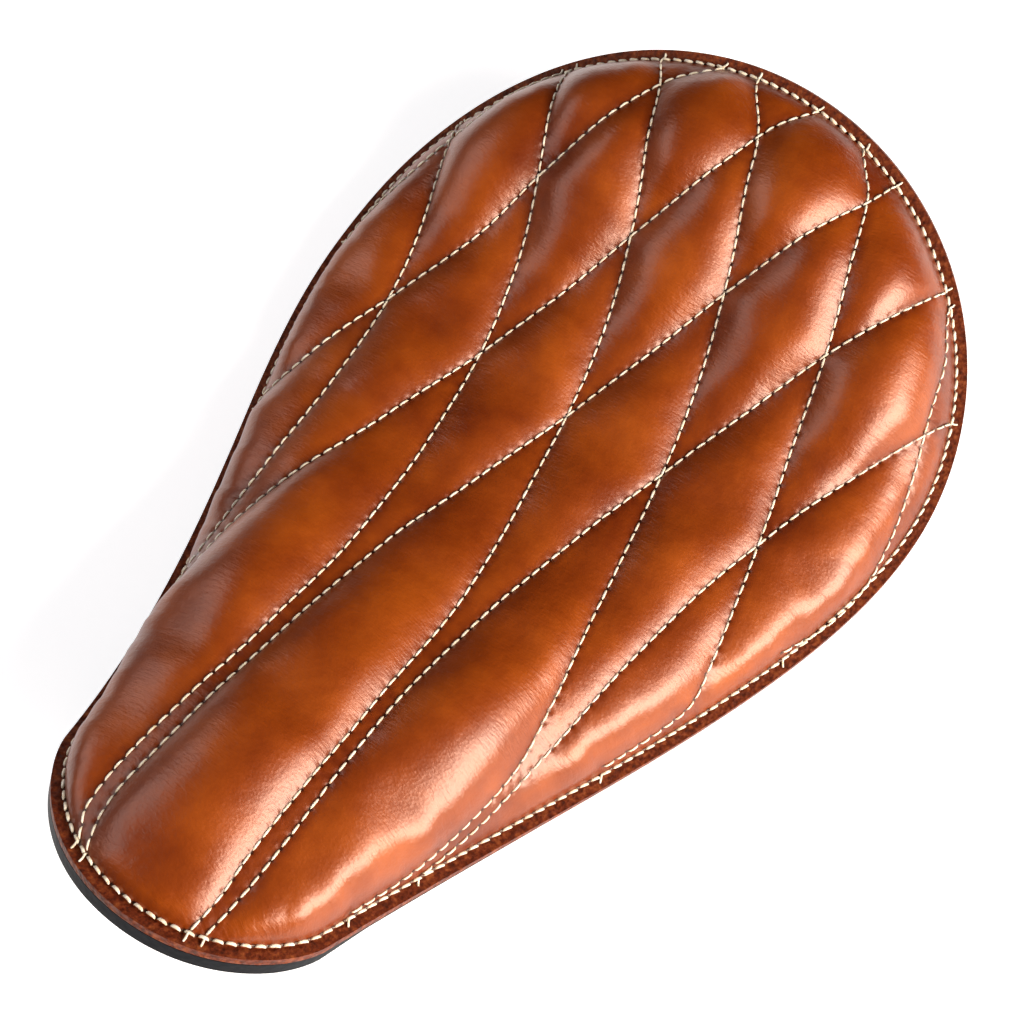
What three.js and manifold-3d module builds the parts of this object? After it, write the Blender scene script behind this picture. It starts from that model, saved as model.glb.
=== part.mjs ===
// A solo motorcycle seat: a moulded pan with rolled ends, a sewn leather and foam pad screwed to it,
// a front hinge with a swinging frame tongue, and two rear spring perches.
// Millimetres. +Z is up, +Y runs from the nose to the rear, +X is the rider's right.
// The origin is on the ground under the middle of the seat's box.

import * as THREE from 'three';
import { mergeVertices } from 'three/addons/utils/BufferGeometryUtils.js';
import Module from 'manifold-3d';

const wasm = await Module();
wasm.setup();

// ---------------------------------------------------------------- driving dimensions

// The pan's curve. "Along" is measured on the pan's upper face, from the seat's low point.
const flatAhead = 40;
const flatBehind = 35;
const noseBendRadius = 292;
const rearBendRadius = 196;
const panThickness = 4.5;

// The line of stitches round the pad, laid out flat: a round rear, long sides and a blunt nose.
const rearRadius = 121;
const rearCentre = 56.5;
const sideHandles = [[121, -15], [76, -81]];
const noseCorner = [52, -183];
const noseHandles = [[49.8, -192.8], [32.2, -216.8]];
const noseTip = -216.8;
// Steps round the rear, along the side and round the nose.
const outlineSteps = [13, 8, 8];

// The leather and foam, as heights above the pan's upper face and distances in from the stitches.
const gap = 0.3;
const rimWidth = 4;
const rimThickness = 2.5;
const coverLap = 0.9;
const leatherThickness = 1.3;
const threadRadius = 0.45;
const edgeSeamSteps = 72;
const shoulderWidth = 47.5;
// The shoulder's curve: how steeply it leaves the edge, and how round it is there.
const shoulderPowers = [2.3, 0.6];
// The sewn edge lies this much below the padding's full height.
const edgeSink = 2.4;
const coverWallWidth = 2;
const layerClearance = 2.2;
const quiltFoamInset = 4.5;
const quiltFoamThickness = 9;
const quiltFoamOverhang = 2;
const coreInset = 13;
// The least that each foam face stands above the leather under it.
const leastQuiltTop = 0.4;
const leastQuiltHollow = 1;
const leastCoreTop = 0.6;
// Points across each layer, more where its top is curved.
const flatColumns = 4;
const coreColumns = 6;
const quiltColumns = 12;
const coverColumns = 14;
// Height of the padding along the seat: full at the nose, thin where the rider sits, full at the rear.
const paddingAlong = [-217, -190, -150, -110, -60, -20, 20, 60, 100, 135, 178];
const paddingHeight = [15, 25.5, 34.5, 37.5, 33, 26, 21, 23, 29, 33.5, 27];

// Fasteners.
const carriageShankRadius = 3;
const carriageHeadRadius = 7;
const carriageHeadHeight = 3;
// The pan is hollow under a flat head, so the head's rim stands this far above the pan at its middle.
const carriageHeadSeat = 1;
const carriageNutAcross = 10;
const carriageNutHeight = 5.5;
const carriageNutFlangeRadius = 7;
const carriageNutFlangeThickness = 1.3;
const boltEndBelowNut = 1.5;
const screwShankRadius = 2.2;
const screwHeadRadius = 4.6;
const screwHeadHeight = 2.6;
const screwSocketAcross = 3;
const screwSocketDepth = 1.4;
const teeNutBarrelRadius = 3.4;
const teeNutFlangeRadius = 8;
const teeNutFlangeThickness = 1.4;
const teeNutBarrelBottom = -3;
// A flat flange on the hollow side of the base leather touches it at the rim first.
const teeNutRimLift = 0.8;
// Holes and pockets are this much wider than what goes in them.
const holeClearance = gap + 0.1;
const headPocketClearance = 1;
const flangePocketClearance = 0.8;
const flangePocketDepth = 3.2;
// A cutter's ends stand past the sheet that it cuts, from below the pan to above the base leather.
const belowPan = -12;
const aboveBase = 6;
const belowBase = -3;
const pastEnd = 1;
// How far a shank reaches into its own head, so that the two become one.
const intoHead = 0.5;

// The front hinge, hung under the nose.
const hingeAlong = -165;
const hingePlateThickness = 3;
const hingePlateWidth = 66;
const hingePlateLength = 31;
const hingePlateCorner = 5;
const hingeBoltX = 24;
const hingeBoltAlong = 7;
const earInside = 12;
const earThickness = 3;
const earRadius = 8.5;
const earRootHalfWidth = 13;
const pivotHeight = 9.5;
const pivotBoltRadius = 4;
const pivotWasherThickness = 1.6;
const pivotWasherRadius = 8;
const pivotHexAcross = 13;
const pivotHeadHeight = 5.3;
const pivotNutHeight = 6.4;
const pivotCollarRadius = 5.9;
const pivotCollarTop = 8.2;
const pivotCollarBottom = 6;
const pivotBoltSpare = 10;
const bushWall = 1.2;
const bushFlangeRadius = 7;
// Half of the gap between the two bushes, in the middle of the barrel.
const bushHalfGap = 0.4;
// Longer than anything on the pivot, for a cutter along its axis.
const pivotCutterHalf = 30;

// The tongue that bolts to the motorcycle's frame and swings on the pivot bolt.
const barrelRadius = 8;
const barrelHalfLength = 9.9;
const tongueThickness = 4;
const tongueReach = 33;
const tongueNeck = 12;
const tongueHalfWidth = 17;
const tongueHoleRadius = 5.2;
const tongueHoleReach = 22;
const tongueCorner = 9;
const tongueShoulder = 4;

// The rear perches that the springs bolt to.
const perchX = 52;
const perchAlong = 94;
const perchThickness = 3;
const perchWidth = 36;
const perchLegLength = 30;
const perchShelfLength = 40;
const perchHoleRadius = 4.3;
const perchHoleSetback = 15;
const perchBoltSpacing = 18;
const springNutAcross = 13;
const springNutHeight = 6.5;
// An upright cutter for the tongue's and the perches' holes.
const uprightCutter = [-5, 60];

// The seven screws that hold the pad on the pan, as [x, along].
const padScrews = [[21, -186], [-21, -186], [57, -95], [-57, -95], [95, 82], [-95, 82], [0, 155]];

// ---------------------------------------------------------------- the pan's curve

// The tilt of the pan at a distance along it, in radians.
function panTilt(along) {
  if (along > flatBehind) return (along - flatBehind) / rearBendRadius;
  if (along < -flatAhead) return (along + flatAhead) / noseBendRadius;
  return 0;
}

// The point over the pan at a distance along it and a height square to it, before the shift to the origin.
function besidePan(along, height) {
  const tilt = panTilt(along);
  let y = along;
  let z = 0;
  if (along > flatBehind) {
    y = flatBehind + rearBendRadius * Math.sin(tilt);
    z = rearBendRadius * (1 - Math.cos(tilt));
  }
  if (along < -flatAhead) {
    y = -flatAhead + noseBendRadius * Math.sin(tilt);
    z = noseBendRadius * (1 - Math.cos(tilt));
  }
  return [y - height * Math.sin(tilt), z + height * Math.cos(tilt)];
}

const noseEdge = besidePan(noseTip - rimWidth, -panThickness)[0];
const rearEdge = besidePan(rearCentre + rearRadius + rimWidth, -panThickness)[0];
const middleY = (noseEdge + rearEdge) / 2;

function overPan(x, along, height) {
  const [y, z] = besidePan(along, height);
  return new THREE.Vector3(x, y - middleY, z + panThickness);
}

// ---------------------------------------------------------------- the outline

// The right half of the stitch line, from the rear to the nose, moved outwards by an offset.
function halfOutline(offset) {
  const line = new THREE.Path();
  line.moveTo(0, rearCentre + rearRadius);
  line.absarc(0, rearCentre, rearRadius, Math.PI / 2, 0, true);
  line.bezierCurveTo(...sideHandles[0], ...sideHandles[1], ...noseCorner);
  line.bezierCurveTo(...noseHandles[0], ...noseHandles[1], 0, noseTip);
  const points = line.curves.flatMap((curve, index) => {
    const steps = outlineSteps[index];
    const last = index === 2 ? steps : steps - 1;
    return Array.from({ length: last + 1 }, (_, k) => curve.getPoint(k / steps));
  });
  return points.map((point, index) => {
    const before = points[Math.max(index - 1, 0)];
    const after = points[Math.min(index + 1, points.length - 1)];
    const atTip = index === 0 || index === points.length - 1;
    const run = atTip ? new THREE.Vector2(index === 0 ? 1 : -1, 0) : after.clone().sub(before).normalize();
    return new THREE.Vector2(atTip ? 0 : point.x - run.y * offset, point.y + run.x * offset);
  });
}

const stitchLine = halfOutline(0);

// How far a place on the pan is in from the stitches.
function distanceIn(x, along) {
  const place = new THREE.Vector2(Math.abs(x), along);
  let nearest = Infinity;
  for (let k = 0; k + 1 < stitchLine.length; k += 1) {
    const side = stitchLine[k + 1].clone().sub(stitchLine[k]);
    const share = place.clone().sub(stitchLine[k]).dot(side) / side.lengthSq();
    const foot = stitchLine[k].clone().addScaledVector(side, Math.min(Math.max(share, 0), 1));
    nearest = Math.min(nearest, foot.distanceTo(place));
  }
  return nearest;
}

// ---------------------------------------------------------------- the padding's height

function smoothPadding(along) {
  const last = paddingAlong.length - 1;
  const place = Math.min(Math.max(along, paddingAlong[0]), paddingAlong[last]);
  const k = Math.min(paddingAlong.findLastIndex((start) => start <= place), last - 1);
  const share = (place - paddingAlong[k]) / (paddingAlong[k + 1] - paddingAlong[k]);
  const eased = (share + share * share * (3 - 2 * share)) / 2;
  return paddingHeight[k] + (paddingHeight[k + 1] - paddingHeight[k]) * eased;
}

// The pad's rounded shoulder: 0 at its edge, rising steeply to 1.
function shoulder(distance) {
  const share = Math.min(Math.max(distance / shoulderWidth, 0), 1);
  return (1 - (1 - share) ** shoulderPowers[0]) ** shoulderPowers[1];
}

const rimTop = gap + rimThickness;
const teeNutSeat = rimTop + teeNutRimLift;
const coverBottom = rimTop + gap;
const coverEdgeTop = coverBottom + leatherThickness;

// How high the padding stands over the sewn edge, from a thickness further down and an inset further in.
function rise(x, along, inset = 0, below = 0) {
  return (smoothPadding(along) - edgeSink - below) * shoulder(distanceIn(x, along) - inset);
}

const layers = {
  coverTop: (x, along) => coverEdgeTop + rise(x, along),
  coverInside: (x, along) => coverBottom + rise(x, along, coverWallWidth),
  quiltTop: (x, along) => coverBottom
    + Math.max(rise(x, along, quiltFoamInset) - layerClearance, leastQuiltTop),
  quiltInside: (x, along) => coverBottom
    + Math.max(smoothPadding(along) - edgeSink - quiltFoamThickness, leastQuiltHollow)
    * shoulder(distanceIn(x, along) - coreInset + quiltFoamOverhang),
  coreTop: (x, along) => coverBottom
    + Math.max(rise(x, along, coreInset, quiltFoamThickness) - layerClearance, leastCoreTop),
};

// ---------------------------------------------------------------- solids

// A closed solid that follows the pan: rows of points across the seat, on a lower and an upper surface.
function seatLayer(offset, lower, upper, columns) {
  const rows = halfOutline(offset);
  const positions = [];
  const triangles = [];
  const sheetStart = [];
  for (const [sheet, surface] of [lower, upper].entries()) {
    sheetStart[sheet] = positions.length / 3;
    for (const row of rows) {
      for (let c = 0; c <= columns; c += 1) {
        const x = row.x * Math.sin((c / columns - 0.5) * Math.PI);
        positions.push(...overPan(x, row.y, surface(x, row.y)));
      }
    }
  }
  const at = (sheet, r, c) => sheetStart[sheet] + r * (columns + 1) + c;
  const quad = (a, b, c, d) => triangles.push(a, b, c, a, c, d);
  for (let r = 0; r + 1 < rows.length; r += 1) {
    for (let c = 0; c < columns; c += 1) {
      quad(at(1, r, c), at(1, r + 1, c), at(1, r + 1, c + 1), at(1, r, c + 1));
      quad(at(0, r, c), at(0, r, c + 1), at(0, r + 1, c + 1), at(0, r + 1, c));
    }
    quad(at(0, r, 0), at(0, r + 1, 0), at(1, r + 1, 0), at(1, r, 0));
    quad(at(0, r, columns), at(1, r, columns), at(1, r + 1, columns), at(0, r + 1, columns));
  }
  const geometry = new THREE.BufferGeometry();
  geometry.setAttribute('position', new THREE.Float32BufferAttribute(positions, 3));
  geometry.setIndex(triangles);
  return dropFlatTriangles(mergeVertices(geometry, 1e-3));
}

// Removes the triangles that shrank to a line where a row ends in a point.
function dropFlatTriangles(geometry) {
  const index = geometry.index.array;
  const kept = [];
  for (let k = 0; k < index.length; k += 3) {
    const [a, b, c] = index.slice(k, k + 3);
    if (a !== b && b !== c && c !== a) kept.push(a, b, c);
  }
  geometry.setIndex(kept);
  return geometry;
}

function level(height) {
  return () => height;
}

function toSolid(geometry) {
  const bare = new THREE.BufferGeometry();
  bare.setAttribute('position', geometry.getAttribute('position'));
  bare.setIndex(geometry.index);
  const merged = dropFlatTriangles(mergeVertices(bare, 1e-4));
  return new wasm.Manifold(new wasm.Mesh({
    numProp: 3,
    vertProperties: new Float32Array(merged.getAttribute('position').array),
    triVerts: new Uint32Array(merged.index.array),
  }));
}

function fromSolid(solid) {
  const mesh = solid.getMesh();
  const geometry = new THREE.BufferGeometry();
  geometry.setAttribute('position', new THREE.Float32BufferAttribute(mesh.vertProperties, 3));
  geometry.setIndex(Array.from(mesh.triVerts));
  return geometry;
}

function cut(geometry, cutters) {
  return fromSolid(cutters.reduce((solid, cutter) => solid.subtract(toSolid(cutter)), toSolid(geometry)));
}

function join(...geometries) {
  return fromSolid(geometries.map(toSolid).reduce((sum, solid) => sum.add(solid)));
}

// An upright round bar from one height to another.
function rod(radius, bottom, top, sides = 12) {
  const bar = new THREE.CylinderGeometry(radius, radius, top - bottom, sides);
  return bar.rotateX(Math.PI / 2).translate(0, 0, (top + bottom) / 2);
}

// A hexagon bar, measured across its flats.
function hexagon(acrossFlats, bottom, top) {
  return rod(acrossFlats / Math.sqrt(3), bottom, top, 6);
}

// A flat plate from a drawn shape, lying on a height.
function plate(shape, bottom, thickness) {
  return new THREE.ExtrudeGeometry(shape, { depth: thickness, bevelEnabled: false, curveSegments: 8 })
    .translate(0, 0, bottom);
}

function roundedRectangle(halfWidth, front, back, corner) {
  const shape = new THREE.Shape();
  shape.moveTo(halfWidth, front + corner);
  shape.absarc(halfWidth - corner, back - corner, corner, 0, Math.PI / 2);
  shape.absarc(-halfWidth + corner, back - corner, corner, Math.PI / 2, Math.PI);
  shape.absarc(-halfWidth + corner, front + corner, corner, Math.PI, Math.PI * 1.5);
  shape.absarc(halfWidth - corner, front + corner, corner, Math.PI * 1.5, Math.PI * 2);
  return shape;
}

// Turns a piece made at the origin, with +Z as its outward way, to stand square on the pan.
function squareToPan(geometry, x, along) {
  const point = overPan(x, along, 0);
  return geometry.clone().rotateX(panTilt(along)).translate(point.x, point.y, point.z);
}

// ---------------------------------------------------------------- the nodes

const seat = new THREE.Group();

function addPart(name, geometry, colour, roughness, metalness = 0) {
  const material = new THREE.MeshStandardMaterial({ color: colour, roughness, metalness });
  const mesh = new THREE.Mesh(geometry, material);
  mesh.name = name;
  seat.add(mesh);
}

// Copies of one fastener, numbered from 1.
function addFasteners(name, copies) {
  copies.forEach((geometry, index) => addPart(`${name}_${index + 1}`, geometry, zinc, 0.35, 0.9));
}

const tan = 0xad5420;
const darkBrown = 0x4a2418;
const black = 0x17171a;
const foamGrey = 0x8c8f94;
const foamYellow = 0xd9cf9f;
const cream = 0xe9dfc8;
const zinc = 0xb9bcc0;
const bronze = 0xa9793a;

// Where the carriage bolts stand: [x, distance behind the plate's middle] on the hinge,
// and [x, side] on the perches.
const hingeBolts = [-1, 1].flatMap((side) => [-1, 1].map((end) => (
  [side * hingeBoltX, end * hingeBoltAlong])));
const perchBolts = [-1, 1].flatMap((side) => [-1, 1].map((end) => (
  [side * perchX + end * perchBoltSpacing / 2, side])));

// A piece made at the origin and set square to the pan's tangent at the hinge or the perches.
function atHinge(geometry, x = 0, ahead = 0) {
  return squareToPan(geometry.clone().translate(x, ahead, 0), 0, hingeAlong);
}

function atPerch(geometry, x = 0) {
  return squareToPan(geometry.clone().translate(x, 0, 0), 0, perchAlong);
}

function atAllBolts(geometry) {
  return [
    ...hingeBolts.map(([x, ahead]) => atHinge(geometry, x, ahead)),
    ...perchBolts.map(([x]) => atPerch(geometry, x)),
  ];
}

function addPan() {
  const pan = seatLayer(rimWidth, level(-panThickness), level(0), flatColumns);
  const boltHoles = atAllBolts(rod(carriageShankRadius + holeClearance, belowPan, aboveBase));
  const screwHole = rod(teeNutBarrelRadius + holeClearance, belowPan, aboveBase);
  const screwHoles = padScrews.map(([x, along]) => squareToPan(screwHole, x, along));
  addPart('seat_pan', cut(pan, [...boltHoles, ...screwHoles]), black, 0.45);
}

function addPad() {
  const headTop = carriageHeadSeat + carriageHeadHeight;
  const headPocket = atAllBolts(rod(carriageHeadRadius + headPocketClearance, belowBase, headTop + pastEnd));
  const barrelHole = rod(teeNutBarrelRadius + holeClearance, belowBase, aboveBase);
  const flangePocket = rod(teeNutFlangeRadius + flangePocketClearance, coverBottom + belowBase,
    coverBottom + flangePocketDepth);
  const base = seatLayer(rimWidth, level(gap), level(rimTop), flatColumns);
  const baseHoles = padScrews.map(([x, along]) => squareToPan(barrelHole, x, along));
  addPart('base_leather', cut(base, [...headPocket, ...baseHoles]), darkBrown, 0.6);

  const core = seatLayer(-coreInset, level(coverBottom), layers.coreTop, coreColumns);
  const pockets = padScrews.map(([x, along]) => squareToPan(flangePocket, x, along));
  addPart('foam_core', cut(core, [...headPocket, ...pockets]), foamGrey, 0.95);
  const quiltFoam = seatLayer(-quiltFoamInset, layers.quiltInside, layers.quiltTop, quiltColumns);
  addPart('quilt_foam', quiltFoam, foamYellow, 0.95);
  const cover = seatLayer(coverLap, layers.coverInside, layers.coverTop, coverColumns);
  addPart('quilted_cover', cover, tan, 0.45);
}

function addPadFasteners() {
  const nutTop = teeNutSeat + teeNutFlangeThickness;
  const flange = rod(teeNutFlangeRadius, teeNutSeat, nutTop);
  const barrel = rod(teeNutBarrelRadius, teeNutBarrelBottom, nutTop);
  const thread = rod(screwShankRadius + gap, teeNutBarrelBottom - pastEnd, nutTop + pastEnd);
  const teeNut = cut(join(flange, barrel), [thread]);
  addFasteners('tee_nut', padScrews.map(([x, along]) => squareToPan(teeNut, x, along)));

  const headTop = -panThickness - gap;
  const head = new THREE.LatheGeometry([
    new THREE.Vector2(0, headTop - screwHeadHeight),
    new THREE.Vector2(screwHeadRadius * 0.6, headTop - screwHeadHeight),
    new THREE.Vector2(screwHeadRadius, headTop - screwHeadHeight * 0.45),
    new THREE.Vector2(screwHeadRadius, headTop),
    new THREE.Vector2(0, headTop),
  ], 12).rotateX(Math.PI / 2);
  const shank = rod(screwShankRadius, headTop - intoHead, nutTop - intoHead);
  const headBottom = headTop - screwHeadHeight;
  const socket = hexagon(screwSocketAcross, headBottom - pastEnd, headBottom + screwSocketDepth);
  const screw = cut(join(head, shank), [socket]);
  addFasteners('pad_screw', padScrews.map(([x, along]) => squareToPan(screw, x, along)));
}

// The four bolts of the hinge and the four of the perches are the same carriage bolt and flange nut.
function addCarriageBolts() {
  const nutTop = -panThickness - hingePlateThickness - 2 * gap;
  const boltEnd = nutTop - carriageNutHeight - boltEndBelowNut;
  const face = carriageHeadSeat;
  const dome = new THREE.LatheGeometry([
    new THREE.Vector2(0, face),
    new THREE.Vector2(carriageHeadRadius, face),
    new THREE.Vector2(carriageHeadRadius * 0.85, face + carriageHeadHeight * 0.55),
    new THREE.Vector2(carriageHeadRadius * 0.45, face + carriageHeadHeight * 0.92),
    new THREE.Vector2(0, face + carriageHeadHeight),
  ], 12).rotateX(Math.PI / 2);
  const bolt = join(dome, rod(carriageShankRadius, boltEnd, face + intoHead));
  const nutBody = hexagon(carriageNutAcross, nutTop - carriageNutHeight, nutTop);
  const nutFlange = rod(carriageNutFlangeRadius, nutTop - carriageNutFlangeThickness, nutTop);
  const nutHole = rod(carriageShankRadius + gap, nutTop - carriageNutHeight - pastEnd, nutTop + pastEnd);
  const nut = cut(join(nutBody, nutFlange), [nutHole]);
  addFasteners('hinge_bolt', hingeBolts.map(([x, ahead]) => atHinge(bolt, x, ahead)));
  addFasteners('hinge_nut', hingeBolts.map(([x, ahead]) => atHinge(nut, x, ahead)));
  addFasteners('perch_bolt', perchBolts.map(([x]) => atPerch(bolt, x)));
  addFasteners('perch_nut', perchBolts.map(([x]) => atPerch(nut, x)));
}

// The pivot hangs straight down from the hinge plate's middle, square to the pan.
const hingeFoot = overPan(0, hingeAlong, -panThickness - gap - hingePlateThickness);
const hingeDrop = (hingeFoot.z - pivotHeight) / Math.cos(panTilt(hingeAlong));
const pivot = new THREE.Vector3(0, hingeFoot.y + hingeDrop * Math.sin(panTilt(hingeAlong)), pivotHeight);

// A round piece made upright at the origin, laid along X at the pivot.
function onPivot(geometry) {
  return geometry.clone().rotateY(Math.PI / 2).translate(pivot.x, pivot.y, pivot.z);
}

function addHingeBracket() {
  const top = -panThickness - gap;
  const footOutline = roundedRectangle(hingePlateWidth / 2, -hingePlateLength / 2, hingePlateLength / 2,
    hingePlateCorner);
  const foot = plate(footOutline, top - hingePlateThickness, hingePlateThickness);
  const boltHole = rod(carriageShankRadius + gap, top - 2 * hingePlateThickness, top + hingePlateThickness);
  const footHoles = hingeBolts.map(([x, ahead]) => boltHole.clone().translate(x, ahead, 0));
  const earOutline = new THREE.Shape();
  earOutline.moveTo(-earRootHalfWidth, top - pastEnd);
  earOutline.lineTo(-earRadius, top - hingePlateThickness - hingeDrop);
  earOutline.absarc(0, top - hingePlateThickness - hingeDrop, earRadius, Math.PI, Math.PI * 2);
  earOutline.lineTo(earRootHalfWidth, top - pastEnd);
  const ears = [-1, 1].map((side) => {
    const ear = new THREE.ExtrudeGeometry(earOutline,
      { depth: earThickness, bevelEnabled: false, curveSegments: 10 });
    ear.rotateX(Math.PI / 2).rotateZ(Math.PI / 2);
    return ear.translate(side > 0 ? earInside : -earInside - earThickness, 0, 0);
  });
  const pivotHole = onPivot(rod(pivotBoltRadius + gap, -pivotCutterHalf, pivotCutterHalf));
  const body = join(cut(foot, footHoles), ...ears);
  addPart('hinge_bracket', cut(atHinge(body), [pivotHole]), black, 0.4, 0.5);
}

function addPivot() {
  const bushInner = pivotBoltRadius + gap;
  const bushOuter = bushInner + bushWall;
  const flangeTop = barrelHalfLength + gap + bushWall;
  for (const [name, side] of [['pivot_bush_left', -1], ['pivot_bush_right', 1]]) {
    const sleeve = rod(bushOuter, bushHalfGap, flangeTop);
    const flange = rod(bushFlangeRadius, barrelHalfLength + gap, flangeTop);
    const bush = cut(join(sleeve, flange), [rod(bushInner, -pastEnd, flangeTop + pastEnd)]);
    addPart(name, onPivot(side > 0 ? bush : bush.rotateX(Math.PI)), bronze, 0.35, 0.9);
  }
  const earOutside = earInside + earThickness;
  const washerHole = rod(pivotBoltRadius + gap, -pivotCutterHalf, pivotCutterHalf);
  const washerFace = earOutside + gap;
  const washer = cut(rod(pivotWasherRadius, washerFace, washerFace + pivotWasherThickness), [washerHole]);
  addFasteners('pivot_washer', [washer.clone().rotateX(Math.PI), washer].map(onPivot));
  const seatFace = earOutside + 2 * gap + pivotWasherThickness;
  const head = hexagon(pivotHexAcross, -seatFace - pivotHeadHeight, -seatFace);
  const shank = rod(pivotBoltRadius, -seatFace - pastEnd, seatFace + pivotBoltSpare);
  addPart('pivot_bolt', onPivot(join(head, shank)), zinc, 0.35, 0.9);
  const collar = rod(pivotCollarRadius, seatFace + pivotCollarBottom, seatFace + pivotCollarTop);
  const nut = cut(join(hexagon(pivotHexAcross, seatFace, seatFace + pivotNutHeight), collar), [washerHole]);
  addPart('pivot_lock_nut', onPivot(nut), zinc, 0.35, 0.9);
}

function addTongue() {
  const barrel = onPivot(rod(barrelRadius, -barrelHalfLength, barrelHalfLength, 24));
  const shape = new THREE.Shape();
  const wide = tongueHalfWidth;
  const corner = tongueCorner;
  shape.moveTo(barrelHalfLength, 0);
  shape.lineTo(-barrelHalfLength, 0);
  shape.lineTo(-barrelHalfLength, -tongueNeck);
  shape.lineTo(-wide, -tongueNeck - tongueShoulder);
  shape.lineTo(-wide, -tongueReach + corner);
  shape.absarc(-wide + corner, -tongueReach + corner, corner, Math.PI, Math.PI * 1.5);
  shape.absarc(wide - corner, -tongueReach + corner, corner, Math.PI * 1.5, Math.PI * 2);
  shape.lineTo(wide, -tongueNeck - tongueShoulder);
  shape.lineTo(barrelHalfLength, -tongueNeck);
  const blade = plate(shape, pivot.z - barrelRadius, tongueThickness).translate(0, pivot.y, 0);
  const bore = onPivot(rod(pivotBoltRadius + 2 * gap + bushWall, -pivotCutterHalf, pivotCutterHalf));
  const frameHole = rod(tongueHoleRadius, ...uprightCutter).translate(0, pivot.y - tongueHoleReach, 0);
  addPart('frame_tongue', cut(join(barrel, blade), [bore, frameHole]), black, 0.4, 0.5);
}

// A strip bent from the pan's slope to level, with a shelf behind for the spring.
function addPerches() {
  const tilt = panTilt(perchAlong);
  const slope = new THREE.Vector2(Math.cos(tilt), Math.sin(tilt));
  const down = new THREE.Vector2(Math.sin(tilt), -Math.cos(tilt));
  const start = overPan(0, perchAlong, -panThickness - gap);
  const onTop = new THREE.Vector2(start.y, start.z);
  const front = onTop.clone().addScaledVector(slope, -perchLegLength / 2);
  const bend = onTop.clone().addScaledVector(slope, perchLegLength / 2);
  const inner = bend.clone().addScaledVector(down, perchThickness);
  const shelfBack = bend.y - perchThickness;
  const profile = new THREE.Shape();
  profile.moveTo(front.x, front.y);
  profile.lineTo(front.x + down.x * perchThickness, front.y + down.y * perchThickness);
  profile.lineTo(inner.x, shelfBack);
  profile.lineTo(bend.x + perchShelfLength, shelfBack);
  profile.lineTo(bend.x + perchShelfLength, bend.y);
  profile.lineTo(bend.x, bend.y);
  const strip = new THREE.ExtrudeGeometry(profile, { depth: perchWidth, bevelEnabled: false });
  strip.rotateX(Math.PI / 2).rotateZ(Math.PI / 2);
  const springY = bend.x + perchShelfLength - perchHoleSetback;
  for (const [name, side] of [['left', -1], ['right', 1]]) {
    const x = side * perchX;
    const boltHoles = perchBolts.filter((bolt) => bolt[1] === side)
      .map((bolt) => atPerch(rod(carriageShankRadius + gap, belowPan, 0), bolt[0]));
    const springHole = rod(perchHoleRadius, ...uprightCutter).translate(x, springY, 0);
    const perch = cut(strip.clone().translate(x - perchWidth / 2, 0, 0), [...boltHoles, springHole]);
    addPart(`spring_perch_${name}`, perch, black, 0.4, 0.5);
    const nut = hexagon(springNutAcross, bend.y + gap, bend.y + gap + springNutHeight)
      .translate(x, springY, 0);
    addPart(`spring_weld_nut_${name}`, cut(nut, [springHole]), zinc, 0.35, 0.9);
  }
}

// The thick thread of the edge seam, as one thin cord along the foot of the cover's edge.
function addEdgeSeam() {
  const half = halfOutline(coverLap + 2 * gap + threadRadius);
  const line = [...half, ...half.slice(1, -1).reverse().map((p) => new THREE.Vector2(-p.x, p.y))];
  const height = rimTop + 2 * gap + threadRadius;
  const path = new THREE.CatmullRomCurve3(line.map((p) => overPan(p.x, p.y, height)), true);
  const section = new THREE.Shape();
  section.absarc(0, 0, threadRadius, 0, Math.PI * 2);
  const cord = new THREE.ExtrudeGeometry(section,
    { steps: edgeSeamSteps, curveSegments: 2, extrudePath: path });
  addPart('edge_seam_thread', cord, cream, 0.8);
}

addPan();
addPad();
addPadFasteners();
addCarriageBolts();
addHingeBracket();
addPivot();
addTongue();
addPerches();
addEdgeSeam();

export default seat;
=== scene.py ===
"""A solo motorcycle seat: a quilted leather top sewn to a dark leather edge, on a black laminate pan,
with its front hinge and rear spring perches. Metres; +Z is up, +Y runs from the nose to the rear."""
import math

import bmesh
import bpy
import numpy as np
from mathutils import Matrix, Vector, geometry, kdtree, noise


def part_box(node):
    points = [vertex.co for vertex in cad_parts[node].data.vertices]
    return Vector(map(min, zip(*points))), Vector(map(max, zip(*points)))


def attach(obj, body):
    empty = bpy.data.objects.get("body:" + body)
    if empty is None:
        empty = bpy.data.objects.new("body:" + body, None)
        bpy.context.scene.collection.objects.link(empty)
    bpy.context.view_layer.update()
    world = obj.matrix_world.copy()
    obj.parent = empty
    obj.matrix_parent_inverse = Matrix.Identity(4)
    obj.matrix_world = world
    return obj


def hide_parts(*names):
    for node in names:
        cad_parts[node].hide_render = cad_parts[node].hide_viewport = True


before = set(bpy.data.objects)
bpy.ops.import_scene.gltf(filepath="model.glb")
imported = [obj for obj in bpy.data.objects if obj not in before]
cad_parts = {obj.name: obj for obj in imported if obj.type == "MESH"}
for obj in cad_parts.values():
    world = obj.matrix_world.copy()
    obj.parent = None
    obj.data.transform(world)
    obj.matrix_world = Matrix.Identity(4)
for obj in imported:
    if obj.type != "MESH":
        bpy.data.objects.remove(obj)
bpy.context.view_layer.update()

MM = 0.001

# ---------------------------------------------------------------- the camera

EYE = Vector((0.16808, -0.18086, 0.57242))
AIM = Vector((0.01148, -0.00641, 0.040))
CAMERA_UP = Vector((-0.54831, 0.73353, 0.40161))
LENS_MM = 59.766


def looking(start, target, up):
    """A turn and place for a camera or lamp at start that looks at target."""
    ahead = (target - start).normalized()
    right = ahead.cross(up).normalized()
    turn = Matrix((right, right.cross(ahead), -ahead)).transposed()
    return Matrix.Translation(start) @ turn.to_4x4()


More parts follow.
